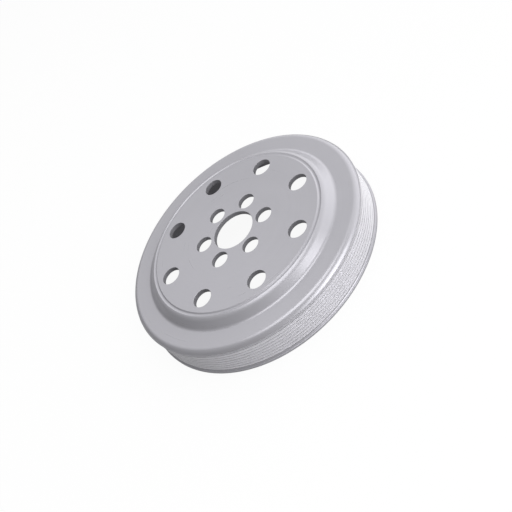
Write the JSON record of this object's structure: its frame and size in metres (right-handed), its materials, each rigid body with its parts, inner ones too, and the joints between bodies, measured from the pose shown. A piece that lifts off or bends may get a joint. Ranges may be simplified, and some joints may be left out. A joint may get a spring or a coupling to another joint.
{
  "type": "crankshaft pulley",
  "caption": "Round stepped drive pulley for a wide multi-ribbed belt, with a hollow back, a centre bore, bolt holes and open windows in its flat web.",
  "frame": {"origin": "on the pulley's axis, in the plane of the rear rim that it stands on", "axes": "+Z along the pulley's axis towards the web's front face; +X through the one radius that passes through both a bolt hole and a window"},
  "size_m": [0.2674, 0.2674, 0.0459],
  "materials": {
    "bare_metal": "clean fine-turned grey metal with a satin sheen"
  },
  "bodies": {
    "root": {"crankshaft_pulley": "bare_metal"}
  },
  "joints": []
}
